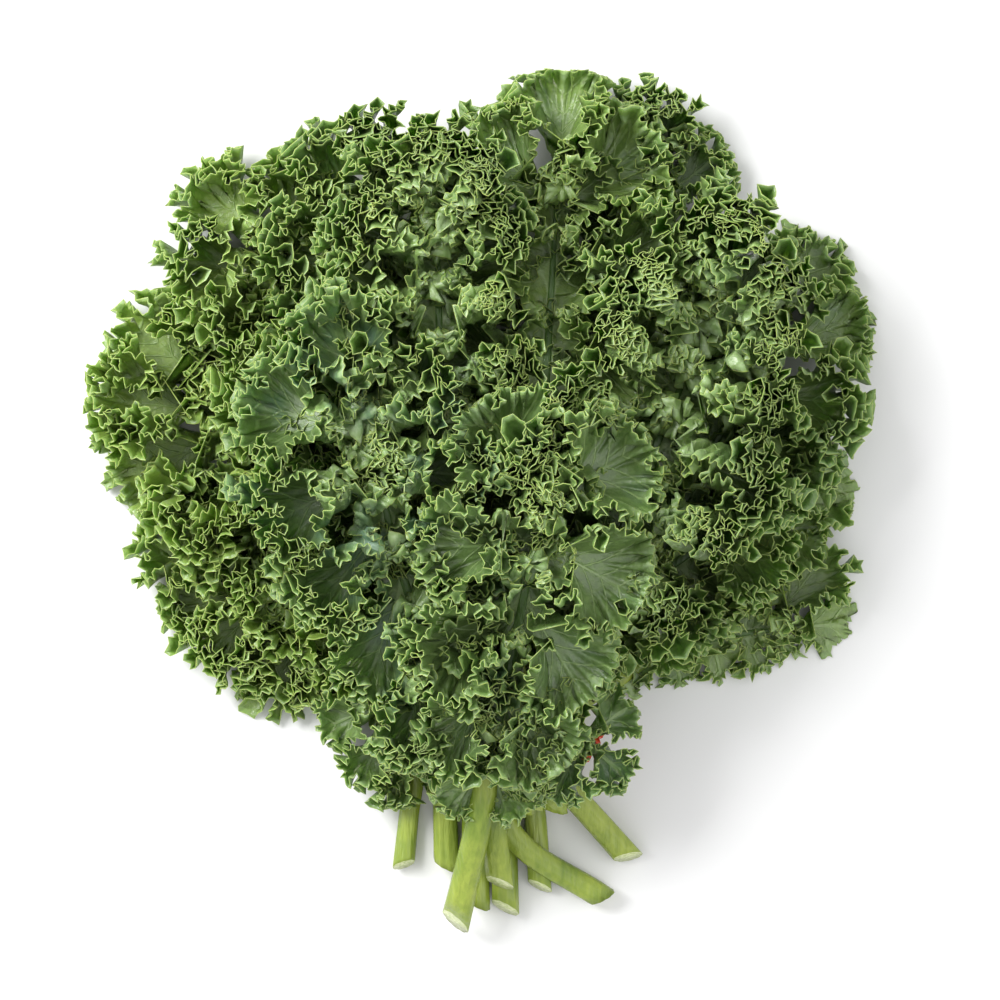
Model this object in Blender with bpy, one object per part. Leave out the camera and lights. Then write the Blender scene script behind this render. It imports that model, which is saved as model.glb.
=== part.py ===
"""A bunch of curly kale lying on its side: fifteen leaves held by a twist tie.

Sizes are in millimetres and MM turns them into metres when a mesh is made.
+X is to the right, +Y runs from the cut stems to the leaf tips, and +Z is up.
Each leaf is laid over the leaves below it, from the lowest to the topmost.
"""

import math
from collections import namedtuple

import bmesh
import bpy
import numpy as np
from mathutils import Vector
from mathutils.bvhtree import BVHTree

MM = 0.001

# The twist tie and the rows of stems that it holds, lowest row first.
TIE_Y = -100.0
TIE_WIDTH = 4.0
TIE_THICKNESS = 1.1
TIE_SLACK = 0.6
TIE_POINTS = 40
HELD = 7.0
ROW_HEIGHTS = (7.0, 17.0, 27.0, 37.8)
TAIL_FROM = 20.0
TAIL_ROUTE = ((36.0, -97.0), (41.0, -88.0), (43.5, -75.0))
TAIL_TWIST = 0.5
OVER_TIE = ("leaf_14", "leaf_15", "leaf_13")
FIRST_OVER_TAIL = "leaf_10"

# The blade of every leaf. The shares and strides are those of its rows, from the rib's
# ridge out to the margin: how far out each row is, and how many rays it skips.
BLADE_THICKNESS = 1.1
BLADE_GAP = 0.7
INNER_SHARE = 0.2
WAVE_LENGTH = 36.0
RAYS_PER_WAVE = 6
SHOULDER = 0.8
RIPPLE = 1.8
LOBE_DEPTH = 0.13
CURL_STEPS = 32
SHARES = (0.2, 0.48, 0.75, 1.0)
STRIDES = (4, 4, 4, 4, 2, 1, 1)

# How a leaf lies on the ones below it.
CELL = 1.0
NEAR_REACH = 2
BLADE_REACH = 10
SETTLE_PASSES = 8
LIFT_PASSES = 16
LIFT_STEP = 0.6
TENT_SLOPE = 0.42
RIB_SPREAD = 14.0
AXIS_STEP = 1.5
STRING_PASSES = 600

GROUND = 0.0
PRESSED = 2.5
FLATTENED = 1.6

# The stem and the rib: the rib's end, how much a stem thins, and the blade's share of the rib.
RIB_END = 0.9
STEM_TAPER = 0.14
KEEL = 1.15
RIDGE = 0.45
WEB_SHARE = 0.16
CUT_SLANT = 0.35
STATION = 11.0

LEAF_GREEN = (0.05, 0.15, 0.025)
TIE_RED = (0.62, 0.07, 0.03)

Leaf = namedtuple(
    "Leaf",
    "name row cut slot through tip half_width start back curl radius seed bend sides",
    defaults=(None, (1.0, 1.0)),
)

# From the lowest leaf to the topmost. cut is the cut end (x, y, z), slot the place in the
# tie (x), through and tip the midrib's course seen from above, start where the blade begins
# past the tie, back how far its lowest lobes point back in degrees, curl the mean and the
# swing of the margin in degrees, bend a point between cut end and tie, and sides the share
# of the half width on the left and on the right.
LEAVES = (
    Leaf("leaf_01", 0, (19, -146, 5.6), 16, ((62, -66),), (140, -36), 40, 26, 8, (26, 42), 4.3, 1),
    Leaf("leaf_02", 0, (-16, -138, 6.4), -17, ((-60, -48),), (-132, -20), 48, 20, 12, (28, 44), 4.7, 2),
    Leaf("leaf_03", 0, (6, -154, 6.6), 5, ((58, -34),), (147, 16), 54, 30, 8, (28, 44), 5.0, 3),
    Leaf("leaf_04", 0, (-4.8, -152, 6.4), -6, ((-62, -4),), (-148, 58), 60, 28, 8, (30, 43), 5.0, 4),
    Leaf("leaf_14", 0, (-32, -138, 6), -28, ((-37, -82),), (-56, -56), 24, 10, 12, (24, 26), 4.0, 14,
         None, (1.0, 0.6)),
    Leaf("leaf_05", 1, (-18, -114, 17), -16, ((-50, 42),), (-112, 124), 52, 30, 8, (40, 50), 4.6, 5),
    Leaf("leaf_06", 1, (52, -135, 15), 21, ((74, 0),), (136, 98), 54, 30, 8, (40, 50), 4.8, 6),
    Leaf("leaf_07", 1, (42, -150, 13.5), -4, ((-34, 30),), (-44, 150), 46, 42, 8, (42, 48), 4.7, 17,
         (10, -128, 16.4)),
    Leaf("leaf_08", 1, (11, -107, 17), 10, ((46, 40),), (80, 156), 48, 40, 8, (42, 52), 4.5, 8),
    Leaf("leaf_09", 2, (12, -116, 26), 10, ((20, 30),), (30, 162), 48, 40, 8, (46, 54), 4.6, 9),
    Leaf("leaf_10", 2, (4, -144, 23.5), -1, ((-16, 20),), (-30, 136), 46, 40, 8, (50, 56), 4.8, 10),
    Leaf("leaf_11", 2, (24, -116, 26), 21, ((50, -10),), (102, 112), 56, 34, 8, (50, 56), 4.8, 11),
    Leaf("leaf_12", 2, (-13, -115, 26), -12, ((-34, -20),), (-52, 68), 44, 26, 8, (45, 49), 4.6, 12),
    Leaf("leaf_15", 3, (16, -114, 37.6), 15, ((27, -84), (46, -88)), (68, -93), 20, 22, 4, (20, 18),
         4.0, 15, None, (0.55, 1.0)),
    Leaf("leaf_13", 3, (-12.6, -158.7, 27.5), 0, ((10, -50),), (28, 40), 44, 8, 20, (43, 47), 5.4, 13,
         (-4, -121, 34.5)),
)


def clear_scene():
    for thing in list(bpy.data.objects):
        bpy.data.objects.remove(thing, do_unlink=True)


def smooth_step(low, high, value):
    share = np.clip((value - low) / (high - low), 0.0, 1.0)
    return share * share * (3.0 - 2.0 * share)


def smooth_max(one, other, width=2.0):
    """The larger of two heights, rounded where they cross."""
    half = 0.5 * (one - other)
    return 0.5 * (one + other) + np.sqrt(half * half + 0.25 * width * width)


class Pile:
    """The height of what has been laid so far, over a grid of small cells."""

    LOW = np.array([-175.0, -175.0])
    HIGH = np.array([175.0, 190.0])

    def __init__(self):
        self.shape = tuple(((self.HIGH - self.LOW) / CELL).astype(int) + 1)
        self.height = np.full(self.shape, GROUND)

    def lay(self, points, triangles):
        """Raise the cells under a closed mesh to its highest point there."""
        tree = BVHTree.FromPolygons(points.tolist(), triangles)
        low = np.maximum(((points.min(axis=0)[:2] - self.LOW) / CELL).astype(int), 0)
        high = ((points.max(axis=0)[:2] - self.LOW) / CELL).astype(int) + 2
        down = Vector((0.0, 0.0, -1.0))
        for i in range(low[0], min(high[0], self.shape[0])):
            x = self.LOW[0] + i * CELL
            for j in range(low[1], min(high[1], self.shape[1])):
                hit = tree.ray_cast(Vector((x, self.LOW[1] + j * CELL, 400.0)), down)[0]
                if hit is not None:
                    self.height[i, j] = max(self.height[i, j], hit.z)

    def cover(self, reach, smoothing):
        """A surface that lies on or above every cell within its reach, smoothed after."""
        raised = self.height
        for _ in range(reach):
            raised = neighbours(raised).max(axis=0)
        for _ in range(smoothing):
            raised = neighbours(raised).mean(axis=0)
        return raised

    def read(self, surface, x, y):
        column = np.clip((x - self.LOW[0]) / CELL, 0, self.shape[0] - 1.001)
        row = np.clip((y - self.LOW[1]) / CELL, 0, self.shape[1] - 1.001)
        i, j = column.astype(int), row.astype(int)
        u, v = column - i, row - j
        near = surface[i, j] * (1 - v) + surface[i, j + 1] * v
        far = surface[i + 1, j] * (1 - v) + surface[i + 1, j + 1] * v
        return near * (1 - u) + far * u


def neighbours(surface):
    padded = np.pad(surface, 1, mode="edge")
    wide, tall = surface.shape
    return np.array([padded[i:i + wide, j:j + tall] for i in range(3) for j in range(3)])


def curve_through(points, step):
    """Points a step apart along a smooth curve through a few chosen ones."""
    points = np.array(points, dtype=float)
    chord = np.linalg.norm(np.diff(points, axis=0), axis=1)
    knots = np.concatenate(([0.0], np.cumsum(chord)))
    slopes = np.gradient(points, knots, axis=0)
    fine = []
    for k, span in enumerate(chord):
        u = np.linspace(0.0, 1.0, 40, endpoint=False)[:, None]
        fine.append(
            (2 * u**3 - 3 * u**2 + 1) * points[k]
            + (u**3 - 2 * u**2 + u) * span * slopes[k]
            + (3 * u**2 - 2 * u**3) * points[k + 1]
            + (u**3 - u**2) * span * slopes[k + 1]
        )
    fine = np.vstack(fine + [points[-1:]])
    along = np.concatenate(([0.0], np.cumsum(np.linalg.norm(np.diff(fine, axis=0), axis=1))))
    even = np.linspace(0.0, along[-1], int(along[-1] / step) + 1)
    return np.column_stack([np.interp(even, along, column) for column in fine.T]), even


def lift_clear(mesh, laid):
    """Raise the places where a leaf still crosses one below it."""
    points = np.array(mesh.points)
    for _ in range(LIFT_PASSES):
        tree = BVHTree.FromPolygons(points.tolist(), mesh.triangles)
        crossed = set()
        for other in laid:
            crossed.update(pair[0] for pair in tree.overlap(other))
        corners = {k for face in crossed for k in mesh.triangles[face] if k in mesh.partner}
        if not corners:
            break
        corners |= {mesh.partner[k] for k in corners}
        points[list(corners), 2] += LIFT_STEP
    mesh.points = list(points)


class Midrib:
    """The course of one leaf's stem and midrib, from the cut end to the tip."""

    def __init__(self, leaf, pile):
        held = (leaf.slot, TIE_Y, ROW_HEIGHTS[leaf.row])
        bend = leaf.bend or tuple(0.5 * (a + b) for a, b in zip(leaf.cut, held))
        stem = (leaf.cut, bend, held)
        plan = [point[:2] for point in stem] + [*leaf.through, leaf.tip]
        heights = [point[2] for point in stem]
        self.plan, self.along = curve_through(plan, AXIS_STEP)
        self.length = self.along[-1]
        away = abs(self.plan[:, 1] - TIE_Y) + abs(self.plan[:, 0] - leaf.slot)
        self.tie = self.along[np.argmin(away)]
        self.start = self.tie + leaf.start
        self.blade = self.length - self.start
        self.tip_share = 1.0 - 0.9 * leaf.half_width / self.blade
        self.thick = leaf.radius
        forward = np.gradient(self.plan, axis=0)
        self.forward = forward / np.linalg.norm(forward, axis=1)[:, None]
        self.height = self.over(pile, plan, heights)

    def over(self, pile, plan, heights):
        """The stem keeps its row in the tie, then the rib is drawn taut over the pile."""
        stations = [self.along[np.argmin(np.hypot(*(self.plan - place).T))]
                    for place in plan[:len(heights)]]
        stem = np.interp(self.along, stations, heights)
        radius = self.radius(self.along)
        around = pile.cover(NEAR_REACH, 1)
        floor = np.zeros_like(stem)
        for offset in np.arange(-RIB_SPREAD, RIB_SPREAD + 0.1, 1.0):
            x = self.plan[:, 0] - self.forward[:, 1] * offset
            y = self.plan[:, 1] + self.forward[:, 0] * offset
            under = KEEL * np.sqrt(np.maximum(radius**2 - offset**2, 0.36))
            tent = TENT_SLOPE * np.maximum(abs(offset) - radius, 0.0)
            needed = pile.read(around, x, y) + under + BLADE_GAP
            inside = (abs(offset) < radius) | (self.along > self.start)
            floor = np.where(inside, np.maximum(floor, needed + tent), floor)
        free = self.along > self.tie + HELD
        height = np.where(free, np.maximum(floor, heights[-1]), stem)
        for _ in range(STRING_PASSES):
            middle = 0.5 * (height[:-2] + height[2:])
            height[1:-1] = np.where(free[1:-1], np.maximum(floor[1:-1], middle), stem[1:-1])
            height[-1] = floor[-1]
        for _ in range(4):
            height[1:-1] = 0.25 * (height[:-2] + 2 * height[1:-1] + height[2:])
        return np.where(free, np.maximum(height, floor), stem)

    def radius(self, along):
        stem = self.thick * (1.0 - STEM_TAPER * np.clip(along / self.start, 0.0, 1.0))
        share = np.clip((along - self.start) / (self.tip_share * self.blade), 0.0, 1.0)
        return stem * (1.0 - share) ** 0.8 + RIB_END * share

    def at(self, along):
        place = np.column_stack([np.interp(along, self.along, c) for c in self.plan.T])
        forward = np.column_stack([np.interp(along, self.along, c) for c in self.forward.T])
        forward /= np.linalg.norm(forward, axis=1)[:, None]
        return place, forward, np.interp(along, self.along, self.height)


class Blade:
    """Rays that run from the midrib out to the margin, all the way round a leaf."""

    def __init__(self, leaf, rib):
        self.leaf, self.rib = leaf, rib
        random = np.random.default_rng(leaf.seed)
        turn = np.linspace(-1.0, 1.0, 1201)
        edge = self.flat(turn, np.ones_like(turn))[0]
        round_it = np.concatenate(([0.0], np.cumsum(np.linalg.norm(np.diff(edge, axis=0), axis=1))))
        self.margin = round_it[-1]
        self.waves = max(4, int(round(self.margin / WAVE_LENGTH)))
        count = 2 * RAYS_PER_WAVE * int(math.ceil(self.waves * 0.5))
        self.count = int(math.ceil(count / 4.0)) * 4
        turn = np.interp(np.linspace(0.0, self.margin, self.count + 1), round_it, turn)
        self.turn = 0.5 * (turn - turn[::-1])
        self.phase = np.linspace(0.0, self.waves, self.count + 1)
        self.uneven = 0.75 + 0.5 * random.random(self.waves + 2)

    def outline(self, turn):
        """Where each ray leaves the midrib, the way it points, and its length."""
        back = np.abs(turn)
        share = self.rib.tip_share * (1.0 - back ** 1.7)
        angle = np.radians(86.0 + self.leaf.back) * (1.0 - (1.0 - back) ** 3.2)
        left, right = self.leaf.sides
        side = right + (left - right) * smooth_step(-0.1, 0.1, -turn)
        widest = self.leaf.half_width * side
        root = self.rib.radius(self.rib.start + share * self.rib.blade)
        fade = (1.0 - back ** 5) ** SHOULDER
        return share, angle, root + (widest * (0.9 + 0.1 * back) - root) * fade

    def flat(self, turn, outward):
        """Plan places at a share of the way out along each ray."""
        share, angle, length = self.outline(turn)
        place, forward, height = self.rib.at(self.rib.start + share * self.rib.blade)
        side = np.where(turn < 0.0, 1.0, -1.0)
        left = np.column_stack((-forward[:, 1], forward[:, 0]))
        ray = forward * np.cos(angle)[:, None] + left * (np.sin(angle) * side)[:, None]
        root = self.rib.radius(self.rib.start + share * self.rib.blade)
        return place + ray * (length * outward)[:, None], place, ray, length - root, root, height

    def sheet(self, shares):
        """Points of the waved sheet before it is laid: plan places, lift and rib height."""
        _, place, ray, length, root, height = self.flat(self.turn, np.ones_like(self.turn))
        mean, swing = np.radians(self.leaf.curl)
        cycle = 2.0 * math.pi * self.phase
        strength = np.interp(self.phase, np.arange(self.waves + 2), self.uneven)
        bend = (mean + swing * np.sin(cycle) * strength) * smooth_step(0.0, 0.16, 1.0 - abs(self.turn))
        notch = LOBE_DEPTH * (1.0 - np.cos(cycle + 0.6))
        lobes = 1.0 - notch * smooth_step(0.0, 0.25, 1.0 - abs(self.turn))
        steps = np.linspace(0.0, 1.0, CURL_STEPS + 1)
        out = np.clip((steps - INNER_SHARE) / (1.0 - INNER_SHARE), 0.0, 1.0)
        slope = bend[:, None] * out[None, :] ** 1.2
        run = (length * lobes)[:, None] / CURL_STEPS
        middle = 0.5 * (slope[:, 1:] + slope[:, :-1])
        reach = np.cumsum(np.cos(middle) * run, axis=1)
        lift = np.cumsum(np.sin(middle) * run, axis=1)
        reach = np.hstack((np.zeros((len(reach), 1)), reach))
        lift = np.hstack((np.zeros((len(lift), 1)), lift))
        columns = []
        for share in shares:
            at = np.array([np.interp(share, steps, row) for row in reach])
            up = np.array([np.interp(share, steps, row) for row in lift])
            columns.append(np.column_stack((place + ray * (root + at)[:, None], up, root + at)))
        return np.array(columns).transpose(1, 0, 2), height


def rib_section(place, side, height, radius, bare):
    """Six points down one side of the rib, from its ridge to its keel; bare is 1 on the stem."""
    over = RIDGE + (1.0 - RIDGE) * bare
    under = KEEL + (1.0 - KEEL) * bare
    web = max(0.5 * BLADE_THICKNESS, WEB_SHARE * radius)
    section = ((0.0, over * radius), (0.72, 0.7 * over * radius), (1.0, web),
               (1.0, -web), (0.72, -0.7 * under * radius), (0.0, -under * radius))
    return [np.append(place + side * (across * radius), height + up) for across, up in section]


class LeafMesh:
    """Vertices and triangles of one closed leaf."""

    def __init__(self):
        self.points, self.triangles = [], []
        self.partner = {}

    def add(self, point):
        self.points.append(np.asarray(point, dtype=float))
        return len(self.points) - 1

    def triangle(self, a, b, c):
        if a != b and b != c and c != a:
            self.triangles.append((a, b, c))

    def strip(self, inner, outer, ratio):
        """Join a row of vertices to the next one out, which has ratio times as many."""
        for k in range(len(inner) - 1):
            a, b = inner[k], inner[k + 1]
            if ratio == 1:
                self.triangle(a, outer[k], outer[k + 1])
                self.triangle(a, outer[k + 1], b)
            else:
                c, d, e = outer[2 * k], outer[2 * k + 1], outer[2 * k + 2]
                self.triangle(a, c, d)
                self.triangle(a, d, b)
                self.triangle(b, d, e)


def vertex_normals(grid):
    """Normals of a grid of points, ray by row, from the faces that meet at each."""
    a, b, c, d = grid[:-1, :-1], grid[1:, :-1], grid[1:, 1:], grid[:-1, 1:]
    normal = np.zeros_like(grid)
    for one, two, three in ((a, b, c), (a, c, d), (b, c, d), (a, b, d)):
        face = np.cross(two - one, three - one)
        face /= np.maximum(np.linalg.norm(face, axis=2, keepdims=True), 1e-9)
        normal[:-1, :-1] += face
        normal[1:, :-1] += face
        normal[1:, 1:] += face
        normal[:-1, 1:] += face
    return normal / np.maximum(np.linalg.norm(normal, axis=2, keepdims=True), 1e-9)


def leaf_mesh(leaf, pile, over):
    """One leaf laid down: its rib on pile and its blade on over."""
    rib = Midrib(leaf, pile)
    blade = Blade(leaf, rib)
    grid, height = blade.sheet(SHARES)
    cover = over.cover(BLADE_REACH, BLADE_REACH)
    near = over.read(over.cover(NEAR_REACH, 1), grid[..., 0], grid[..., 1])
    base = pile.read(cover, grid[..., 0], grid[..., 1])
    base = near + (base - near) * smooth_step(6.0, 22.0, grid[..., 3])
    tent = height[:, None] - TENT_SLOPE * grid[..., 3]
    middle = grid[..., :3].copy()
    middle[..., 2] += smooth_max(base, tent)
    if leaf.row == 0 and leaf.start > 10:
        middle[..., 2] -= PRESSED
    normal = vertex_normals(middle)
    ripple = RIPPLE * np.where(np.arange(blade.count + 1) % 2 == 0, 1.0, -1.0)
    ripple = ripple * smooth_step(0.02, 0.16, 1.0 - abs(blade.turn))
    middle[:, -1] += ripple[:, None] * normal[:, -1]
    normal = vertex_normals(middle)
    top = middle + 0.5 * BLADE_THICKNESS * normal
    bottom = middle - 0.5 * BLADE_THICKNESS * normal
    settle(over, top, bottom)
    drop = np.where(bottom[..., 2] < GROUND + FLATTENED, bottom[..., 2] - GROUND, 0.0)
    top[..., 2] -= drop
    bottom[..., 2] -= drop
    return assemble(leaf, rib, blade, top, bottom)


def settle(pile, top, bottom):
    """Lift the parts of a blade that would dip into the pile or the ground."""
    around = pile.cover(NEAR_REACH, 1)
    blend = ((1, 0, 0), (0, 1, 0), (0, 0, 1), (0.5, 0.5, 0), (0, 0.5, 0.5), (0.5, 0, 0.5),
             (0.33, 0.34, 0.33), (0.6, 0.2, 0.2), (0.2, 0.6, 0.2), (0.2, 0.2, 0.6))
    for _ in range(SETTLE_PASSES):
        rise = np.zeros(top.shape[:2])
        for face in (top, bottom):
            for corners in (((0, 0), (1, 0), (1, 1)), ((0, 0), (1, 1), (0, 1))):
                parts = [(slice(i, i + face.shape[0] - 1), slice(j, j + face.shape[1] - 1))
                         for i, j in corners]
                for weights in blend:
                    point = sum(w * face[part] for w, part in zip(weights, parts))
                    least = pile.read(around, point[..., 0], point[..., 1])
                    least = least + np.where(least > GROUND + 0.05, BLADE_GAP, 0.0)
                    short = np.maximum(0.0, least - point[..., 2])
                    for part in parts:
                        rise[part] = np.maximum(rise[part], short)
        around_rise = rise.copy()
        around_rise[1:] = np.maximum(around_rise[1:], 0.6 * rise[:-1])
        around_rise[:-1] = np.maximum(around_rise[:-1], 0.6 * rise[1:])
        top[..., 2] += around_rise
        bottom[..., 2] += around_rise


def assemble(leaf, rib, blade, top, bottom):
    mesh = LeafMesh()
    count = blade.count
    rows = {True: [], False: []}
    share, angle, _ = blade.outline(blade.turn)
    along = rib.start + share * rib.blade
    place, forward, height = rib.at(along)
    radius = rib.radius(along)
    angle = np.minimum(angle, 0.5 * math.pi)
    left = np.column_stack((-forward[:, 1], forward[:, 0]))
    sign = np.where(blade.turn < 0.0, 1.0, -1.0)
    side = forward * np.cos(angle)[:, None] + left * (np.sin(angle) * sign)[:, None]
    for upper in (True, False):
        order = (0, 1, 2) if upper else (5, 4, 3)
        for row in range(3):
            line = []
            for i in range(0, count + 1, STRIDES[row]):
                if row == 0 and i > count // 2:
                    line.append(line[(count - i) // STRIDES[0]])
                    continue
                bare = 1.0 - float(smooth_step(0.0, 0.2, share[i]))
                section = rib_section(place[i], side[i], height[i], radius[i], bare)
                line.append(mesh.add(section[order[row]]))
            rows[upper].append(line)
    for upper, grid in ((True, top), (False, bottom)):
        for column in range(len(SHARES)):
            row = 3 + column
            line = [mesh.add(grid[i, column]) for i in range(STRIDES[row], count, STRIDES[row])]
            if not upper:
                for one, two in zip(rows[True][row][1:-1], line):
                    mesh.partner[one], mesh.partner[two] = two, one
            rows[upper].append([rows[upper][2][0]] + line + [rows[upper][2][-1]])
    for upper in (True, False):
        before = len(mesh.triangles)
        for row in range(len(STRIDES) - 1):
            mesh.strip(rows[upper][row], rows[upper][row + 1], STRIDES[row] // STRIDES[row + 1])
        if not upper:
            mesh.triangles[before:] = [(a, c, b) for a, b, c in mesh.triangles[before:]]
    for k in range(count):
        a, b = rows[True][-1][k], rows[True][-1][k + 1]
        c, d = rows[False][-1][k], rows[False][-1][k + 1]
        mesh.triangle(a, c, d)
        mesh.triangle(a, d, b)
    add_stem(mesh, leaf, rib, rows)
    return mesh


def add_stem(mesh, leaf, rib, rows):
    """The bare stem, from the foot of the blade to its slanting cut end."""
    over, under = rows[True], rows[False]
    ring = [over[0][0], over[1][0], over[2][0], under[2][0], under[1][0],
            under[0][0], under[1][-1], under[2][-1], over[2][-1], over[1][-1]]
    beyond = np.linspace(rib.start, rib.tie + TIE_WIDTH, 2 + int(leaf.start / STATION))
    before = np.linspace(rib.tie - TIE_WIDTH, 0.0, 2 + int(rib.tie / STATION))
    stations = np.concatenate((beyond[1:], before))
    places, forwards, heights = rib.at(stations)
    slant = CUT_SLANT * (1 if leaf.seed % 2 else -1)
    for along, place, forward, height in zip(stations, places, forwards, heights):
        radius = float(rib.radius(along))
        side = np.array((-forward[1], forward[0]))
        left = rib_section(place, side, height, radius, 1.0)
        right = rib_section(place, -side, height, radius, 1.0)
        section = left + right[4:0:-1]
        if along == 0.0:
            lean = np.append(forward * slant, 0.0)
            section = [point + lean * (point[2] - height) for point in section]
        fresh = [mesh.add(point) for point in section]
        for k in range(10):
            a, b = ring[k], ring[(k + 1) % 10]
            c, d = fresh[k], fresh[(k + 1) % 10]
            mesh.triangle(a, b, d)
            mesh.triangle(a, d, c)
        ring = fresh
    centre = mesh.add(np.mean([mesh.points[k] for k in ring], axis=0))
    for k in range(10):
        mesh.triangle(ring[k], ring[(k + 1) % 10], centre)


def make_object(name, points, faces, colour, roughness):
    mesh = bpy.data.meshes.new(name)
    mesh.from_pydata([tuple(point * MM) for point in points], [], faces)
    mesh.validate()
    shape = bmesh.new()
    shape.from_mesh(mesh)
    bmesh.ops.recalc_face_normals(shape, faces=shape.faces)
    shape.to_mesh(mesh)
    shape.free()
    mesh.shade_smooth()
    mesh.set_sharp_from_angle(angle=math.radians(50.0))
    thing = bpy.data.objects.new(name, mesh)
    bpy.context.scene.collection.objects.link(thing)
    material = bpy.data.materials.new(name)
    material.use_nodes = True
    shader = material.node_tree.nodes["Principled BSDF"]
    shader.inputs["Base Color"].default_value = (*colour, 1.0)
    shader.inputs["Roughness"].default_value = roughness
    shader.inputs["Metallic"].default_value = 0.0
    mesh.materials.append(material)
    return thing


def leaf_colour(seed):
    return tuple(np.array(LEAF_GREEN) * np.random.default_rng(seed).uniform(0.85, 1.25))


def tie_ring(ribs):
    """The inner outline of the tie, drawn tight round the stems that pass through it."""
    points = []
    for rib in ribs:
        for offset in (-1.1, -0.5, 0.0, 0.5, 1.1):
            along = rib.tie + offset * TIE_WIDTH
            place, _, height = rib.at(np.array([along]))
            radius = float(rib.radius(along)) + TIE_SLACK
            for turn in np.linspace(0.0, 2.0 * math.pi, 24, endpoint=False):
                across = radius * math.cos(turn)
                points.append((place[0, 0] + across, height[0] + radius * math.sin(turn)))
    ring = convex_ring(points)
    closed = np.vstack((ring, ring[:1]))
    along = np.concatenate(([0.0], np.cumsum(np.linalg.norm(np.diff(closed, axis=0), axis=1))))
    even = np.linspace(0.0, along[-1], TIE_POINTS, endpoint=False)
    ring = np.column_stack([np.interp(even, along, column) for column in closed.T])
    outward = np.roll(ring, -1, axis=0) - np.roll(ring, 1, axis=0)
    outward = np.column_stack((outward[:, 1], -outward[:, 0]))
    outward /= np.linalg.norm(outward, axis=1)[:, None]
    return ring + 0.3 * outward, outward


def tie_band(ring, outward):
    """The flat strip of the tie, round the stems."""
    half = 0.5 * TIE_WIDTH
    band = LeafMesh()
    loops = []
    for point, out in zip(ring, outward):
        far = point + out * TIE_THICKNESS
        loops.append([band.add((x, TIE_Y + y, z)) for (x, z), y in
                      ((point, -half), (far, -half), (far, half), (point, half))])
    join_loops(band, loops + loops[:1])
    return band


def tie_tail(ring, outward, pile):
    """The two ends of the tie, twisted together beside the stems."""
    near = ring + 0.6 * TIE_THICKNESS * outward
    first = near[np.argmin(abs(near[:, 1] - TAIL_FROM) + 100.0 * (near[:, 0] < 0.0))]
    route, along = curve_through(((first[0], TIE_Y), *TAIL_ROUTE), 1.8)
    height = pile.read(pile.cover(NEAR_REACH, 1), *route.T) + 0.6 * TIE_WIDTH + BLADE_GAP
    clear = smooth_step(0.0, 2.5, along)
    height = np.maximum(first[1], height * clear + first[1] * (1.0 - clear))
    route = np.column_stack((route, height))
    tail = LeafMesh()
    loops = []
    for k, way in enumerate(np.gradient(route, axis=0)):
        way = way / np.linalg.norm(way)
        flat = np.cross(way, (0.0, 0.0, 1.0))
        flat /= np.linalg.norm(flat)
        turn = TAIL_TWIST * along[k]
        wide = flat * math.cos(turn) + np.cross(flat, way) * math.sin(turn)
        thin = np.cross(wide, way)
        loops.append([tail.add(route[k] + 0.45 * TIE_WIDTH * a * wide + TIE_THICKNESS * b * thin)
                      for a, b in ((-1, -1), (1, -1), (1, 1), (-1, 1))])
    join_loops(tail, loops)
    cap(tail, loops[0])
    cap(tail, loops[-1][::-1])
    return tail


def join_loops(mesh, loops):
    for one, two in zip(loops[:-1], loops[1:]):
        for k in range(len(one)):
            following = (k + 1) % len(one)
            mesh.triangle(one[k], one[following], two[following])
            mesh.triangle(one[k], two[following], two[k])


def cap(mesh, loop):
    for k in range(1, len(loop) - 1):
        mesh.triangle(loop[0], loop[k], loop[k + 1])


def convex_ring(points):
    """The points of a convex outline, anticlockwise."""
    ordered = sorted(set((round(x, 3), round(z, 3)) for x, z in points))
    halves = []
    for run in (ordered, ordered[::-1]):
        half = []
        for point in run:
            while len(half) > 1 and turn_of(half[-2], half[-1], point) <= 0:
                half.pop()
            half.append(point)
        halves.append(half[:-1])
    return np.array(halves[0] + halves[1])


def turn_of(one, two, three):
    return (two[0] - one[0]) * (three[1] - one[1]) - (two[1] - one[1]) * (three[0] - one[0])


def make_tie(band, tail, centre):
    """The strip and its twisted tail, joined in one solid."""
    tie = make_object("twist_tie", np.array(band.points) - centre, band.triangles, TIE_RED, 0.45)
    end = make_object("tie_tail", np.array(tail.points) - centre, tail.triangles, TIE_RED, 0.45)
    join = tie.modifiers.new("join", "BOOLEAN")
    join.operation = "UNION"
    join.solver = "EXACT"
    join.object = end
    bpy.context.view_layer.objects.active = tie
    bpy.ops.object.modifier_apply(modifier=join.name)
    bpy.data.objects.remove(end, do_unlink=True)


def main():
    """Lay the leaves one on another, then centre the bunch over the origin."""
    clear_scene()
    pile = Pile()
    ring, outward = tie_ring([Midrib(leaf, Pile()) for leaf in LEAVES])
    band = tie_band(ring, outward)
    made, laid = [], [BVHTree.FromPolygons(np.array(band.points).tolist(), band.triangles)]
    for leaf in LEAVES:
        if leaf.name == FIRST_OVER_TAIL:
            tail = tie_tail(ring, outward, pile)
            pile.lay(np.array(tail.points), tail.triangles)
            laid.append(BVHTree.FromPolygons(np.array(tail.points).tolist(), tail.triangles))
        over = pile
        if leaf.name in OVER_TIE:
            over = Pile()
            over.height = pile.height.copy()
            over.lay(np.array(band.points), band.triangles)
        mesh = leaf_mesh(leaf, pile, over)
        lift_clear(mesh, laid)
        points = np.array(mesh.points)
        pile.lay(points, mesh.triangles)
        laid.append(BVHTree.FromPolygons(points.tolist(), mesh.triangles))
        made.append((leaf, points, mesh.triangles))
    everything = np.vstack([points for _, points, _ in made])
    centre = 0.5 * (everything.min(axis=0) + everything.max(axis=0)) * (1.0, 1.0, 0.0)
    for leaf, points, triangles in made:
        make_object(leaf.name, points - centre, triangles, leaf_colour(leaf.seed), 0.5)
    make_tie(band, tail, centre)


main()
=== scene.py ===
import math
from collections import namedtuple

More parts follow.
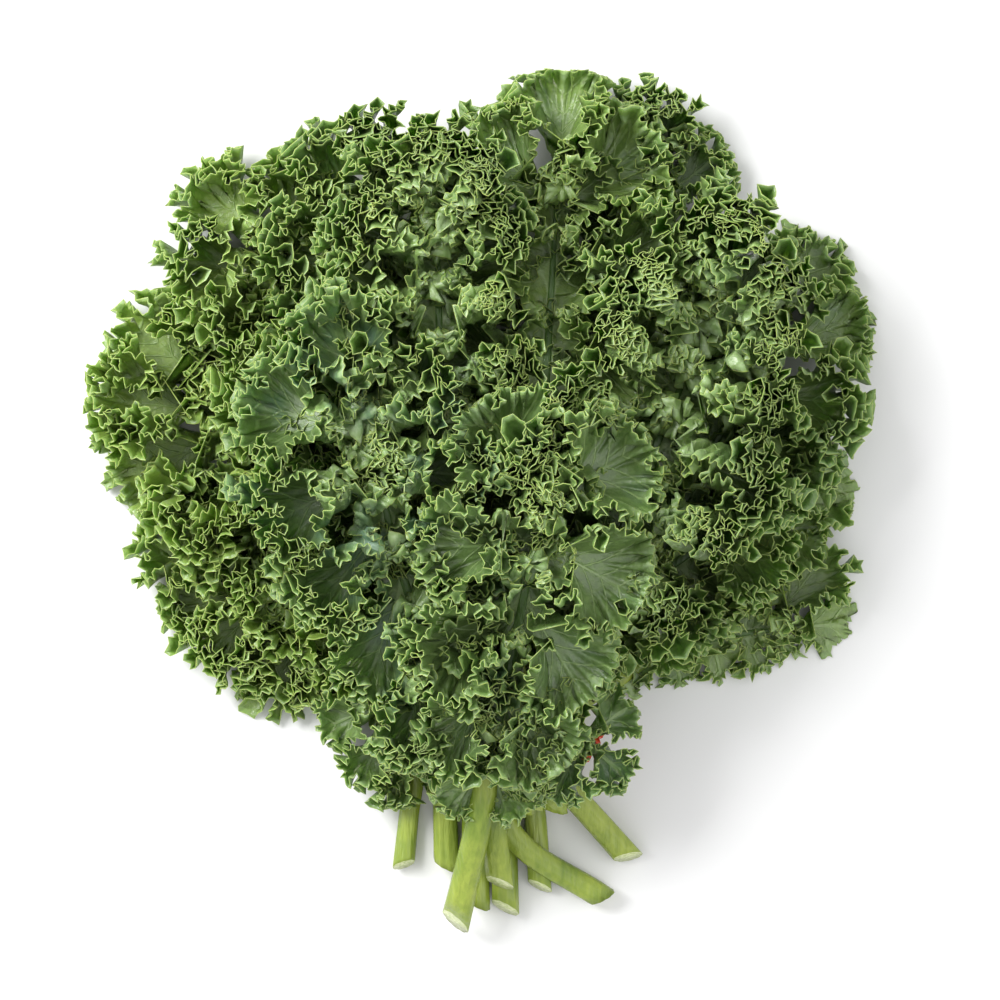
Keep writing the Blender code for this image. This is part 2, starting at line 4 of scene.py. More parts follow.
import bpy
import numpy as np
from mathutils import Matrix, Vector
from mathutils.bvhtree import BVHTree


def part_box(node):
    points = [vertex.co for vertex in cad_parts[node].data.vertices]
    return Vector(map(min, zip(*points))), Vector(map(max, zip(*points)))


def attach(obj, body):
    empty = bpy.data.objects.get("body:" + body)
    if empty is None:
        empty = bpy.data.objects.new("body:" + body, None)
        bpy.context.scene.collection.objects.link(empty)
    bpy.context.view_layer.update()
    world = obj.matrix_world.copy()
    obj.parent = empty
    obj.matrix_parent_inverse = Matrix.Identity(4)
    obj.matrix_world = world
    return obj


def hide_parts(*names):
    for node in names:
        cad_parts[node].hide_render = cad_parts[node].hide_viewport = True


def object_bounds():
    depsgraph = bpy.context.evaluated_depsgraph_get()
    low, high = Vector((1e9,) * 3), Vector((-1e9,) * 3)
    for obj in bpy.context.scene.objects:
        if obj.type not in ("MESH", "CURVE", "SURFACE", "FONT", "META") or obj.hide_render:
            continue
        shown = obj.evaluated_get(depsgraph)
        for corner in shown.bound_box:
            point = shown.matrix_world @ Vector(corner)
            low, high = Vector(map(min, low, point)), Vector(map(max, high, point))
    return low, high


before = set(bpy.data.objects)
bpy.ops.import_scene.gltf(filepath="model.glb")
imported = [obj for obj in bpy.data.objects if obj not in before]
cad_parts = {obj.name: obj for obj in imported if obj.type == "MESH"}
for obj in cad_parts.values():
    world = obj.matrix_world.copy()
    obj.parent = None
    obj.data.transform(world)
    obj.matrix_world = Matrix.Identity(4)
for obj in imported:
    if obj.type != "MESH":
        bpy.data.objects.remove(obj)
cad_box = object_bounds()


# The kale leaves. Each is one grown piece: a pale juicy stem that runs on as the midrib, and a
# thin waxy blade whose lobes fan out wider than the room they have, so they curl up and their
# margins meander. Each leaf is laid on the CAD leaves below it, from the lowest to the topmost.
MM = 0.001
TIE = np.array([1.85, -99.9])
WHOLE = (1.0, 1.0)

# Lengths are in millimetres and angles in degrees. The stem runs from cut by bend through the
# tie, slot to the right of its middle, and the rib goes on by through to tip. These are places
# from above, to the right of the middle of the tie and towards the tips. The blade begins start
# past the tie, is half_width wide on each side times its two sides (left and right), and turns
# back by back at its base. thick is the radius of the stem and lobes the count of outer lobes.
# curl is how far the margin turns up (least and most), open how much of a lobe stays flat, ruffle
# the swing of the folds, wax the bluish bloom, and fresh the yellow-green of young blade along
# with painted light that makes leaves lighter, most of all those at the left, towards the lamp.
# stand is how steeply the inner lobes rise, sinus how far out the slits between lobes begin, as a
# share of the width, and roll how far both sides of a lobe roll up (least and most).
Leaf = namedtuple("Leaf", "name cut bend slot through tip half_width start back thick lobes sides "
                          "curl open ruffle wax fresh stand sinus roll", defaults=(80, 0.64, (5, 55)))
LEAVES = (
    Leaf("leaf_01", (19, -46), None, 16, ((62, 39),), (146, 54), 42, 44, 8, 4.3, 11, (1.0, 0.36),
         (20, 80), 0.62, 2.6, 0.25, 0.8),
    Leaf("leaf_02", (-16, -38), None, -17, ((-60, 52),), (-128, 82), 47, 44, 8, 4.7, 13, (0.88, 1.15),
         (30, 110), 0.4, 3.2, 0.1, 1.5, 60),
    Leaf("leaf_03", (6, -54), None, 5, ((58, 66),), (143, 114), 52, 46, 8, 5.0, 11, (0.85, 0.62),
         (10, 80), 0.68, 2.8, 0.3, 0.75),
    Leaf("leaf_04", (-4.8, -52), None, -6, ((-62, 96),), (-137, 168), 56, 28, 8, 5.0, 15, WHOLE,
         (20, 100), 0.55, 3.2, 0.15, 1.65, 55, 0.72),
    Leaf("leaf_14", (-32, -38), None, -28, ((-37, 18),), (-54, 46), 27, -4, 58, 4.0, 9, (1.0, 0.9),
         (30, 100), 0.4, 2.2, 0.1, 0.5, 120),
    Leaf("leaf_05", (-18, -14), None, -16, ((-50, 142),), (-107, 222), 50, 30, 8, 4.6, 13, WHOLE,
         (30, 110), 0.35, 3.2, 0.1, 1.4, 65),
    Leaf("leaf_06", (52, -35), None, 21, ((74, 100),), (124, 196), 47, 30, 8, 4.8, 13, WHOLE,
         (20, 100), 0.45, 3.0, 0.3, 0.75),
    Leaf("leaf_07", (42, -50), (10, -28), -4, ((-34, 130),), (-44, 250), 48, 42, 8, 4.7, 13, WHOLE,
         (40, 120), 0.3, 3.2, 0.15, 0.6),
    Leaf("leaf_08", (11, -7), None, 10, ((46, 140),), (72, 260), 48, 40, 8, 4.5, 13, (1.0, 0.72),
         (30, 110), 0.4, 3.0, 0.15, 0.4),
    Leaf("leaf_09", (12, -16), None, 10, ((20, 130),), (28, 259), 48, 40, 8, 4.6, 11, WHOLE,
         (15, 95), 0.65, 3.0, 0.2, 0.85),
    Leaf("leaf_10", (4, -44), None, -1, ((-16, 120),), (-20, 245), 46, 40, 8, 4.8, 15, WHOLE,
         (50, 130), 0.25, 3.4, 0.15, 0.5),
    Leaf("leaf_11", (24, -16), None, 21, ((50, 90),), (104, 215), 56, 34, 8, 4.8, 15, WHOLE,
         (50, 130), 0.25, 3.6, 0.2, 0.5),
    Leaf("leaf_12", (-13, -15), None, -12, ((-34, 80),), (-52, 168), 46, 4, 62, 4.6, 13, (1.15, 1.0),
         (40, 110), 0.4, 3.2, 0.8, 0.3, 95),
    Leaf("leaf_15", (16, -14), None, 15, ((27, 15), (40, 6)), (53, -6), 25, -5, 70, 4.0, 11, (0.85, 1.0),
         (20, 80), 0.5, 2.0, 0.3, 0.1),
    Leaf("leaf_13", (-12.6, -58.7), (-4, -21), 0, ((10, 50),), (28, 140), 46, -11, 66, 5.4, 10, WHOLE,
         (15, 80), 0.62, 2.8, 0.2, 0.35, 95),
)


def rise(low, high, value):
    """0 up to low, 1 from high on, smooth between."""
    share = np.clip((value - low) / (high - low), 0.0, 1.0)
    return share * share * (3.0 - 2.0 * share)


def between(limits, share):
    """The value at a share of the way from the first limit to the second."""
    low, high = limits
    return low + (high - low) * share


def travelled(points):
    """How far along a line of points each of them lies."""
    return np.concatenate(([0.0], np.cumsum(np.linalg.norm(np.diff(points, axis=0), axis=1))))


# The pile is a grid of heights over the floor, with its first cell at REACH: how high the CAD
# nodes that are laid so far reach in each cell. Rays are dropped on them from OVERHEAD.
CELL = 2.0
REACH = np.array([-176.0, -176.0])
CELLS = (178, 178)
OVERHEAD = 400.0
JUST_INSIDE = 1.001


def tree_of(name):
    """A CAD node as a tree for rays, in millimetres."""
    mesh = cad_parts[name].data
    mesh.calc_loop_triangles()
    points = [tuple(vertex.co / MM) for vertex in mesh.vertices]
    return BVHTree.FromPolygons(points, [tuple(face.vertices) for face in mesh.loop_triangles])


def drop(tree, x, y):
    """The height at which something dropped here lands, or None where it misses."""
    hit = tree.ray_cast(Vector((x, y, OVERHEAD)), Vector((0.0, 0.0, -1.0)))[0]
    return None if hit is None else hit.z


def lay(pile, name):
    """Raise the cells of the pile under one CAD node to its top."""
    tree = tree_of(name)
    low, high = (np.array(corner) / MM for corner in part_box(name))
    first = np.maximum(((low[:2] - REACH) / CELL).astype(int), 0)
    last = np.minimum(((high[:2] - REACH) / CELL).astype(int) + 2, CELLS)
    for i in range(first[0], last[0]):
        for j in range(first[1], last[1]):
            top = drop(tree, REACH[0] + i * CELL, REACH[1] + j * CELL)
            if top is not None:
                pile[i, j] = max(pile[i, j], top)


def soften(pile, times):
    """Widen the high places of a pile by so many cells, then smooth it as often."""
    for merge in (np.max, np.mean):
        for _ in range(times):
            edge = np.pad(pile, 1, mode="edge")
            pile = merge([edge[i:i + CELLS[0], j:j + CELLS[1]] for i in range(3) for j in range(3)], axis=0)
    return pile


def look_up(pile, x, y):
    """Heights of a pile at places between the middles of its cells."""
    column = np.clip((x - REACH[0]) / CELL, 0, CELLS[0] - JUST_INSIDE)
    row = np.clip((y - REACH[1]) / CELL, 0, CELLS[1] - JUST_INSIDE)
    i, j = column.astype(int), row.astype(int)
    u, v = column - i, row - j
    near = pile[i, j] * (1 - v) + pile[i, j + 1] * v
    far = pile[i + 1, j] * (1 - v) + pile[i + 1, j + 1] * v
    return near * (1 - u) + far * u


SINK = 10.0
SINK_FROM_TIE = (15.0, 60.0)


def sink(x, y):
    """How far a blade lies below the top of its CAD leaf, so that its curls stand up to that top."""
    return SINK * rise(*SINK_FROM_TIE, np.hypot(x - TIE[0], y - TIE[1]))


# The rib tapers a little up to the blade, gets thinner as the blade begins, and ends before the
# tip, where rays go on. The ridge of its CAD leaf is this many radii over its middle, first in
# the blade and then in the bare stem.
SPAN_STEPS = 40
RIB_STEP = 1.5
RIB_STOP = 0.9
LOOK_AROUND = 2.0
RIDGE = (0.45, 1.0)
RIDGE_FADE = 0.2
EVEN_OUT = 6
STEM_TAPER = 0.14
BLADE_TAPER, TAPER_FADE = 0.45, 0.22
TIP_POWER, TIP_RADIUS = 0.8, 0.7
UNDERSIDE, OFF_FLOOR = 0.97, 0.3


def course(chosen):
    """A smooth line through chosen places, in fine steps."""
    knots = travelled(chosen)
    slopes = np.gradient(chosen, knots, axis=0)
    u = np.linspace(0.0, 1.0, SPAN_STEPS, endpoint=False)[:, None]
    fine = []
    for k, span in enumerate(np.diff(knots)):
        fine.append((2 * u**3 - 3 * u**2 + 1) * chosen[k] + (u**3 - 2 * u**2 + u) * span * slopes[k]
                    + (3 * u**2 - 2 * u**3) * chosen[k + 1] + (u**3 - u**2) * span * slopes[k + 1])
    return np.vstack(fine + [chosen[-1:]])


class Rib:
    """The stem and midrib of a leaf: its course from above, its height and its thickness."""

    def __init__(self, leaf):
        bend = leaf.bend or (0.5 * (leaf.cut[0] + leaf.slot), 0.5 * leaf.cut[1])
        chosen = np.array([leaf.cut, bend, (leaf.slot, 0.0), *leaf.through, leaf.tip], dtype=float)
        fine = course(chosen + TIE)
        along = travelled(fine)
        self.along = np.linspace(0.0, along[-1], int(along[-1] / RIB_STEP) + 1)
        self.plan = np.column_stack([np.interp(self.along, along, column) for column in fine.T])
        held = abs(self.plan[:, 1] - TIE[1]) + abs(self.plan[:, 0] - TIE[0] - leaf.slot)
        self.start = self.along[np.argmin(held)] + leaf.start
        self.blade = self.along[-1] - self.start
        self.tip_share = 1.0 - RIB_STOP * leaf.half_width / self.blade
        self.end = self.start + self.tip_share * self.blade
        self.thick = leaf.thick
        self.height = self.from_cad(leaf)

    def from_cad(self, leaf):
        """The height of the middle of the rib, from the ridge of the CAD leaf."""
        tree = tree_of(leaf.name)
        top = [drop(tree, *place) for place in self.plan]
        known = [k for k, height in enumerate(top) if height is not None]
        bare = 1.0 - rise(0.0, RIDGE_FADE, (self.along - self.start) / self.blade)
        height = np.interp(self.along, self.along[known], [top[k] for k in known])
        height -= between(RIDGE, bare) * self.radius(self.along)
        height = np.where(self.along > self.end, np.interp(self.end, self.along, height), height)
        for _ in range(EVEN_OUT):
            height[1:-1] = 0.25 * (height[:-2] + 2 * height[1:-1] + height[2:])
        return np.maximum(height - sink(*self.plan.T), UNDERSIDE * self.radius(self.along) + OFF_FLOOR)

    def radius(self, along):
        stem = self.thick * (1.0 - STEM_TAPER * np.clip(along / self.start, 0.0, 1.0))
        share = np.clip((along - self.start) / (self.tip_share * self.blade), 0.0, 1.0)
        thinner = 1.0 - BLADE_TAPER * rise(0.0, TAPER_FADE, share)
        return stem * (1.0 - share) ** TIP_POWER * thinner + TIP_RADIUS * share

    def place(self, along):
        return np.column_stack([np.interp(along, self.along, column) for column in self.plan.T])

    def at(self, along):
        """Places from above, directions from above, and heights."""
        step = self.place(along + LOOK_AROUND) - self.place(along - LOOK_AROUND)
        forward = step / np.linalg.norm(step, axis=1)[:, None]
        return self.place(along), forward, np.interp(along, self.along, self.height)


# The lobes alternate: outer ones lie out, inner ones are shorter and stand up. climb is how
# steeply a lobe rises (for inner ones a share of the leaf's stand), lean how much steeper it is
# on one side, long its length as a share of the width, wide how far its rays fan out to each
# side, and more how much further its middle curls. Each is drawn between a least and a most.
Lobe = namedtuple("Lobe", "climb lean long wide more")
OUTER = Lobe((-10.0, 14.0), (-22.0, 22.0), (0.98, 1.14), (66.0, 98.0), (0.0, 0.0))
INNER = Lobe((0.6, 1.3), (-30.0, 30.0), (0.42, 0.60), (60.0, 100.0), (25.0, 65.0))
UNEVEN = 0.12
CLIMB_OUT = (0.02, 0.3)
EASE_TO_NEXT = (0.4, 1.0)

# Rays leave the rib closest together at its tip. Towards the base they turn sideways and back,
# and the blade fades out. The lobes are blunt, and their rays fan out on the way.
SIDEWAYS, TURN_POWER = 86.0, 3.2
ROOT_POWER = 1.7
TIP_BLEND = 0.1
TIP_WIDTH = 0.9
FADE_POWER, FADE_ROUND = 5, 0.6
LOBE_POWER, LOBE_ROUND = 2.7, 0.6
FAN_FROM, FAN_FULL = 0.15, 0.72
SHORTEST = 4.0

# The margin of a lobe curls up by turns less and more, from knot to knot. Outer lobes are made
# longer by what their curl takes, down to a least share that still shows from above.
KNOTS = 13
CURL_SWING = (0.06, 0.42)
CURL_FROM, CURL_FULL = 0.75, 0.86
LEAST_SHOWN = 0.84

# The sides of the lobes waver sideways and up, by these angles in radians, once in about 7 mm
# outwards, and each lobe starts elsewhere in its wave.
WAVER_ASIDE, WAVER_UP = 0.6, 0.45
WAVER_TURN, WAVER_SLOWER = 0.85, 0.8
WAVER_SHIFT, WAVER_SKEW = 2.4, 1.5
WAVER_ACROSS, WAVER_OUT = (0.5, 0.95), (3.0, 9.0)

# Both sides of a lobe roll up beyond its flat middle, like a trough that opens outwards.
TROUGH_SHARE, TROUGH_MORE = 0.62, 2.0
TROUGH_FLAT = 0.25
ROLL_OUT = (0.15, 0.6)
LEAST_ROLL, LEAST_REACH = 0.02, 1.0

# How far out each row of the blade lies and how many rays it skips, from the rib to the margin.
# The margin has one ray in every grain of its length, coarser in the lower leaves, which are
# mostly covered.
STEPS = 40
ROWS = np.array([0.0, 0.17, 0.34, 0.49, 0.62, 0.74, 0.85, 0.94, 1.0])
SKIPS = (16, 16, 8, 8, 4, 4, 2, 1, 1)
TRIAL_RAYS = 8001
LOWER_LEAVES = 8
COARSE_GRAIN, FINE_GRAIN = 0.7, 0.56


class Blade:
    """The rays of one leaf's blade, and the sheet that they carry.

    A turn of -1 is the base of the blade on the left, 0 is its tip and 1 its base on the right.
    """

    def __init__(self, leaf, rib, seed):
        self.leaf, self.rib = leaf, rib
        self.grain = COARSE_GRAIN if seed <= LOWER_LEAVES else FINE_GRAIN
        self.random = np.random.default_rng(seed)
        self.lobes = 2 * leaf.lobes - 1
        self.inner = np.arange(self.lobes) % 2 == 1
        self.mid = np.linspace(-1.0, 1.0, 2 * self.lobes + 1)[1::2]
        self.mid = self.mid + self.random.uniform(-UNEVEN, UNEVEN, self.lobes) / self.lobes
        # The sixth row is not used, but stays in the draw, because the draws after it depend on it.
        climb, lean, long, wide, more, _ = self.random.uniform(0.0, 1.0, (6, self.lobes))
        self.climb = np.radians(self.drawn("climb", climb) * np.where(self.inner, leaf.stand, 1.0))
        self.lean = np.radians(self.drawn("lean", lean))
        self.long = self.drawn("long", long)
        self.wide = np.radians(self.drawn("wide", wide))
        self.more = np.radians(self.drawn("more", more))
        swing = self.random.uniform(*CURL_SWING, (self.lobes, KNOTS))
        self.curls = 0.5 + swing * np.where(np.arange(KNOTS) % 2, 1.0, -1.0)
        self.curls[:, (0, -1)] = 0.5
        self.roll = np.radians(self.random.uniform(*leaf.roll, (self.lobes, 2)))

    def drawn(self, size, share):
        """One size of every lobe, at its drawn share of the way between its limits."""
        inner, outer = (between(getattr(lobe, size), share) for lobe in (INNER, OUTER))
        return np.where(self.inner, inner, outer)

    def lobe_at(self, turn):
        """Which lobe each ray is in, and how far across it, from -1 to 1."""
        edges = np.concatenate(([-1.0], 0.5 * (self.mid[1:] + self.mid[:-1]), [1.0]))
        lobe = np.clip(np.searchsorted(edges, turn) - 1, 0, self.lobes - 1)
        low, high = edges[lobe], edges[lobe + 1]
        return lobe, np.clip(2.0 * (turn - low) / (high - low) - 1.0, -1.0, 1.0)

    def roots(self, turn):
        """How far along the rib each ray starts, and how far it turns from straight ahead."""
        back = abs(turn)
        share = self.rib.tip_share * (1.0 - back ** ROOT_POWER)
        angle = np.radians(SIDEWAYS + self.leaf.back) * (1.0 - (1.0 - back) ** TURN_POWER)
        return self.rib.start + share * self.rib.blade, angle

    def widths(self, turn):
        """The width of the blade along each ray, and how it fades out at the base."""
        back = abs(turn)
        left, right = self.leaf.sides
        side = between((right, left), rise(-TIP_BLEND, TIP_BLEND, -turn))
        fade = (1.0 - back ** FADE_POWER) ** FADE_ROUND
        return self.leaf.half_width * side * between((TIP_WIDTH, 1.0), back) * fade, fade

    def curl_at(self, lobe, across, middle):
        """How far the sheet curls up at each step of each ray."""
        knot = 0.5 * (across + 1.0) * (KNOTS - 1)
        first = np.minimum(knot.astype(int), KNOTS - 2)
        near, far = self.curls[lobe, first], self.curls[lobe, first + 1]
        wander = between((near, far), rise(0.0, 1.0, knot - first))
        curl = between(np.radians(self.leaf.curl), wander) + self.more[lobe] * (1.0 - abs(across))
        return curl[:, None] * rise(CURL_FROM * self.leaf.open, CURL_FULL, middle)

    def tilt_at(self, lobe, across):
        """How steeply each ray rises, eased over to the next lobe at the slits."""
        beside = np.clip(lobe + np.where(across > 0, 1, -1), 0, self.lobes - 1)
        share = 0.5 * rise(*EASE_TO_NEXT, abs(across))
        tilt = self.climb[lobe] * (1.0 - share) + self.climb[beside] * share
        return tilt + self.lean[lobe] * across * (1.0 - 2.0 * share)

    def rays(self, turn):
        """Points along each ray, each with its place from above, its height over the drape and its
        distance from the rib, and for each ray its rib's height, its length and its place across."""
        lobe, across = self.lobe_at(turn)
        along, angle = self.roots(turn)
        place, forward, height = self.rib.at(along)
        full, fade = self.widths(turn)
        reach = full * self.long[lobe]
        sinus = self.leaf.sinus * full
        length = sinus + (reach - sinus) * (1.0 - abs(across) ** LOBE_POWER) ** LOBE_ROUND
        steps = np.linspace(0.0, 1.0, STEPS + 1)
        middle = 0.5 * (steps[1:] + steps[:-1])
        distance = length[:, None] * middle
        past = distance - FAN_FROM * sinus[:, None]
        fan = rise(0.0, FAN_FULL, past / np.maximum(reach[:, None], SHORTEST))
        waver = rise(*WAVER_ACROSS, abs(across))[:, None] * rise(*WAVER_OUT, distance)
        turns = distance * WAVER_TURN + (WAVER_SHIFT * lobe + WAVER_SKEW * across)[:, None]
        sign = np.where(turn < 0.0, 1.0, -1.0)
        heading = angle[:, None] - (sign * across * self.wide[lobe])[:, None] * fan
        heading = heading + WAVER_ASIDE * waver * np.sin(turns)
        tilt = self.tilt_at(lobe, across)[:, None] * rise(*CLIMB_OUT, middle) * fade[:, None]
        climb = self.curl_at(lobe, across, middle) + tilt
        climb = climb + WAVER_UP * waver * np.cos(WAVER_SLOWER * turns)
        shown = np.clip(np.cos(climb).mean(axis=1), LEAST_SHOWN, 1.0)
        length = length / np.where(self.inner[lobe], 1.0, shown)
        run = (length / STEPS)[:, None]
        parts = (np.cos(climb) * np.cos(heading), np.cos(climb) * np.sin(heading), np.sin(climb))
        zero = np.zeros((len(turn), 1))
        ahead, aside, up = (np.hstack((zero, np.cumsum(part * run, axis=1))) for part in parts)
        away = np.column_stack((-forward[:, 1], forward[:, 0])) * sign[:, None]
        start = place + away * (0.5 * self.rib.radius(along))[:, None]
        x = start[:, :1] + forward[:, :1] * ahead + away[:, :1] * aside
        y = start[:, 1:] + forward[:, 1:] * ahead + away[:, 1:] * aside
        x, y, up = self.rolled(lobe, x, y, up, reach)
        return np.stack((x, y, up, np.hypot(ahead, aside)), axis=2), height, length, across * reach

    def rolled(self, lobe, x, y, up, reach):
        """Roll both sides of every lobe up about the line along its middle."""
        along, angle = self.roots(self.mid)
        angle = angle * np.where(self.mid < 0, 1, -1)
        place, forward, _ = self.rib.at(along)
        axis = np.column_stack((forward[:, 0] * np.cos(angle) - forward[:, 1] * np.sin(angle),
                                forward[:, 1] * np.cos(angle) + forward[:, 0] * np.sin(angle)))[lobe]
        from_x, from_y = x - place[lobe, :1], y - place[lobe, 1:]
        far = from_x * axis[:, :1] + from_y * axis[:, 1:]
        aside = from_y * axis[:, :1] - from_x * axis[:, 1:]
        half = TROUGH_SHARE * reach[:, None] + TROUGH_MORE
        flat = TROUGH_FLAT * self.leaf.open
        roll = np.where(aside > 0, self.roll[lobe, :1], self.roll[lobe, 1:])
        roll = roll * rise(*ROLL_OUT, far / (reach[:, None] + LEAST_REACH)) + LEAST_ROLL
        turned = np.maximum(abs(aside) / half - flat, 0.0) * roll
        across = np.minimum(abs(aside), flat * half) + np.sin(turned) * half / roll
        shift = np.sign(aside) * across - aside
        return x - axis[:, 1:] * shift, y + axis[:, :1] * shift, up + (1.0 - np.cos(turned)) * half / roll

    def sheet(self):
        """The blade as rows of points, with evenly spread rays, and what rays returns beside them."""
        turn = np.linspace(-1.0, 1.0, TRIAL_RAYS)
        margin = travelled(self.rays(turn)[0][:, -1, :3])
        count = int(margin[-1] / self.grain / SKIPS[0]) * SKIPS[0]
        turn = np.interp(np.linspace(0.0, margin[-1], count + 1), margin, turn)
        points, height, length, across = self.rays(turn)
        at = ROWS * STEPS
        low = np.minimum(at.astype(int), STEPS - 1)
        part = (at - low)[None, :, None]
        return points[:, low] * (1.0 - part) + points[:, low + 1] * part, height, length, across


NOT_ZERO = 1e-9


def unit(vectors):
    """The same directions, one long."""
    return vectors / np.maximum(np.linalg.norm(vectors, axis=2, keepdims=True), NOT_ZERO)


def frame_of(grid):
    """Unit vectors at every point of a sheet: along the margin, outwards, and up from the sheet."""
    along = unit(np.gradient(grid, axis=0))
    out = unit(np.gradient(grid, ROWS, axis=1))
    return along, out, unit(np.cross(out, along))


def blur(values, width):
    """Smooth values along the margin, over so many rays to each side."""
    kernel = np.hanning(2 * width + 3)[1:-1]
    kernel /= kernel.sum()
    padded = np.pad(values, ((width, width), (0, 0), (0, 0)), mode="edge")
    return np.stack([np.stack([np.convolve(padded[:, row, axis], kernel, mode="valid")
                               for row in range(values.shape[1])], axis=1)
                     for axis in range(values.shape[2])], axis=2)


# Folds and ruffles swing the margin up and down, each wave about so many millimetres long. They
# begin at a share of the way out and grow towards the margin. An offbeat and a slip along the
# margin keep them from being even. Teeth point outwards, and the next row follows them a little.
Frill = namedtuple("Frill", "length swing first power")
FOLD = Frill(12.0, 1.2, 0.46, 1.4)
RUFFLE = Frill(4.5, 1.45, 0.58, 1.2)
WAVE_LENGTHS, WAVE_STRENGTHS = (0.7, 1.3), (0.55, 1.25)
OFFBEAT, OFFBEAT_TURN, OFFBEAT_START = 0.4, 1.73, 1.0
SLIP = 0.2
FRILL_BLUR = 6
TOOTH_LENGTH, TOOTH_SIZE = 2.7, 0.45
TOOTH_GAP, TOOTH_FOLLOW = 0.4, 0.4


def wave(random, grid, length):
    """A phase that goes round once in about a length of margin, and a strength for each wave."""
    margin = travelled(grid[:, -1])
    count = int(margin[-1] / length)
    knots = np.cumsum(random.uniform(*WAVE_LENGTHS, count + 2))
    knots *= margin[-1] / knots[-1]
    phase = np.interp(margin, np.concatenate(([0.0], knots)), np.arange(count + 3))
    strength = np.interp(phase, np.arange(count + 3), random.uniform(*WAVE_STRENGTHS, count + 3))
    return 2.0 * math.pi * phase, strength


def ruffle(random, grid, frill, swing):
    """Throw the outer part of a sheet into waves that grow towards its margin."""
    along, _, up = frame_of(blur(grid, FRILL_BLUR))
    phase, strength = wave(random, grid, frill.length)
    grow = swing * np.clip((ROWS - frill.first) / (1.0 - frill.first), 0.0, 1.0) ** frill.power
    uneven = np.sin(phase) + OFFBEAT * np.sin(OFFBEAT_TURN * phase + OFFBEAT_START)
    side = (strength * uneven)[:, None] * grow
    slip = (SLIP * strength * np.sin(2.0 * phase))[:, None] * grow
    return grid + side[..., None] * up - slip[..., None] * along


def cut_teeth(random, grid):
    """Draw the margin out into small teeth."""
    out = frame_of(grid)[1]
    phase, strength = wave(random, grid, TOOTH_LENGTH)
    tooth = (TOOTH_SIZE * strength * np.maximum(np.cos(phase), -TOOTH_GAP))[:, None]
    grid[:, -1] += tooth * out[:, -1]
    grid[:, -2] += TOOTH_FOLLOW * tooth * out[:, -2]
    return grid


# A blade slopes down from its rib until it lies on the pile, of which it follows less detail the
# further it is from the rib. The bend between is rounded.
SLOPE = 0.42
CLEAR_OF_RIB = (6.0, 22.0)
NEAR_CELLS, FAR_CELLS = 1, 5
BEND_ROUND = 1.0


def drape(grid, height, distance, pile):
    """Heights of a sheet that hangs from its rib and lies on what is below."""
    x, y = grid[..., 0], grid[..., 1]
    near, far = (look_up(soften(pile, cells), x, y) for cells in (NEAR_CELLS, FAR_CELLS))
    base = between((near, far), rise(*CLEAR_OF_RIB, distance)) - sink(x, y)
    tent = height[:, None] - SLOPE * distance
    half = 0.5 * (base - tent)
    return 0.5 * (base + tent) + np.sqrt(half * half + BEND_ROUND)


EASE = 6.0
LOWEST = 0.4


def hold(sheet):
    """Keep a sheet above the floor, and ease it to a stop at the sides and top of the CAD box."""
    low, high = (np.array(corner) / MM for corner in cad_box)
    over = np.maximum(sheet - (high - EASE), 0.0)
    sheet = sheet - over + EASE * (1.0 - np.exp(-over / EASE))
    under = np.maximum((low + EASE) - sheet, 0.0)[..., :2]
    sheet[..., :2] += under - EASE * (1.0 - np.exp(-under / EASE))
    sheet[..., 2] = np.maximum(sheet[..., 2], LOWEST)
    return sheet


class Shell:
    """Points and faces of one leaf, with what its materials need to know at each point."""

    def __init__(self):
        self.points, self.faces, self.marks, self.slots = [], [], [], []
        self.size = 0

    def add(self, points, marks):
        """Add points and return their numbers."""
        self.points.append(points)
        self.marks.append(marks)
        self.size += len(points)
        return np.arange(self.size - len(points), self.size)

    def join(self, strips, slot):
        """Add faces of one material slot."""
        for faces in strips:
            self.faces.extend(map(tuple, faces.tolist()))
            self.slots.extend([slot] * len(faces))


def strip(inner, outer, flip):
    """Faces between a row and the next one out, which has as many points or twice as many."""
    a, b = inner[:-1], inner[1:]
    if len(inner) == len(outer):
        faces = [np.column_stack((a, outer[:-1], outer[1:], b))]
    else:
        c, d, e = outer[:-2:2], outer[1:-1:2], outer[2::2]
        faces = [np.column_stack(three) for three in ((a, c, d), (a, d, b), (b, d, e))]
    return [face[:, ::-1] if flip else face for face in faces]


# A leaf has three materials, in these slots. Its blade gets thinner towards the margin.
BLADE_SLOT, STEM_SLOT, CUT_SLOT = 0, 1, 2
BLADE_THICK, BLADE_THINS = 0.36, 0.35


def blade_shell(shell, sheet, marks):
    """The upper and the under side of the blade, closed all round."""
    up = frame_of(sheet)[2]
    sides = []
    for side in (1.0, -1.0):
        rows = []
        for row, skip in enumerate(SKIPS):
            half = 0.5 * BLADE_THICK * (1.0 - BLADE_THINS * ROWS[row])
            points = sheet[::skip, row] + side * half * up[::skip, row]
            rows.append(shell.add(points, marks[::skip, row]))
        for inner, outer in zip(rows[:-1], rows[1:]):
            shell.join(strip(inner, outer, side > 0), BLADE_SLOT)
        sides.append(rows)
    upper, under = sides
    shell.join(strip(upper[-1], under[-1], True), BLADE_SLOT)
    shell.join(strip(upper[0], under[0], False), BLADE_SLOT)
    for end, flip in ((0, False), (-1, True)):
        ends = [np.array([row[end] for row in rows]) for rows in sides]
        shell.join(strip(*ends, flip), BLADE_SLOT)


# The stem is round, with fine ribs along it and a shallow groove on top. In the blade its top is
# flatter. It was cut at a slant, which fades out along the first part of it, and the cut of the
# stem furthest left slants the other way.
AROUND = 28
STEM_RINGS, RIB_RINGS = 26, 40
RIBS, RIB_DEPTH = 9.0, 0.04
GROOVE_DEPTH, GROOVE_WIDTH = 0.13, 0.55
TOP_IN_BLADE, TOP_BARE, UNDER = 0.5, 0.92, 0.95
BARE_FADE = 0.25
CUT_FADE = 14.0
CUT_UP = 0.45
CUT_LEFT, CUT_RIGHT = -0.4, 0.5
FAR_LEFT = -20


